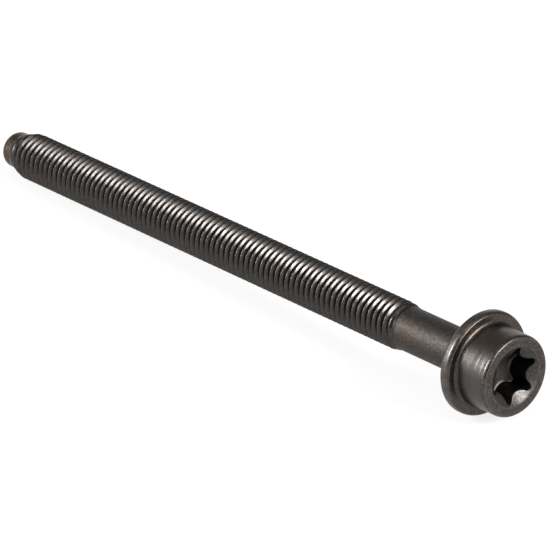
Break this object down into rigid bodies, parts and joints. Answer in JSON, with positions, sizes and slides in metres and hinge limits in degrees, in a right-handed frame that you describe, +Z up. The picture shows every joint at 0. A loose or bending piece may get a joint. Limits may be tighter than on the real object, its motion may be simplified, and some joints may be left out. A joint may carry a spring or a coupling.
{
  "type": "flange head bolt",
  "caption": "Long engine bolt with a round flanged head, a lobed drive socket, a short plain shank, a fine rolled thread and a plain pilot at its end.",
  "frame": {"origin": "on the ground, under the middle of the bolt as it lies", "axes": "+X along the bolt towards its head, +Z up; the bolt's own axis leans up by 2.358 degrees towards the head, because it lies on its flange and its thread"},
  "size_m": [0.1518, 0.021, 0.021],
  "materials": {
    "bolt": "dark phosphated steel, satin, slightly brown"
  },
  "bodies": {
    "root": {"bolt": "bolt"}
  },
  "joints": []
}
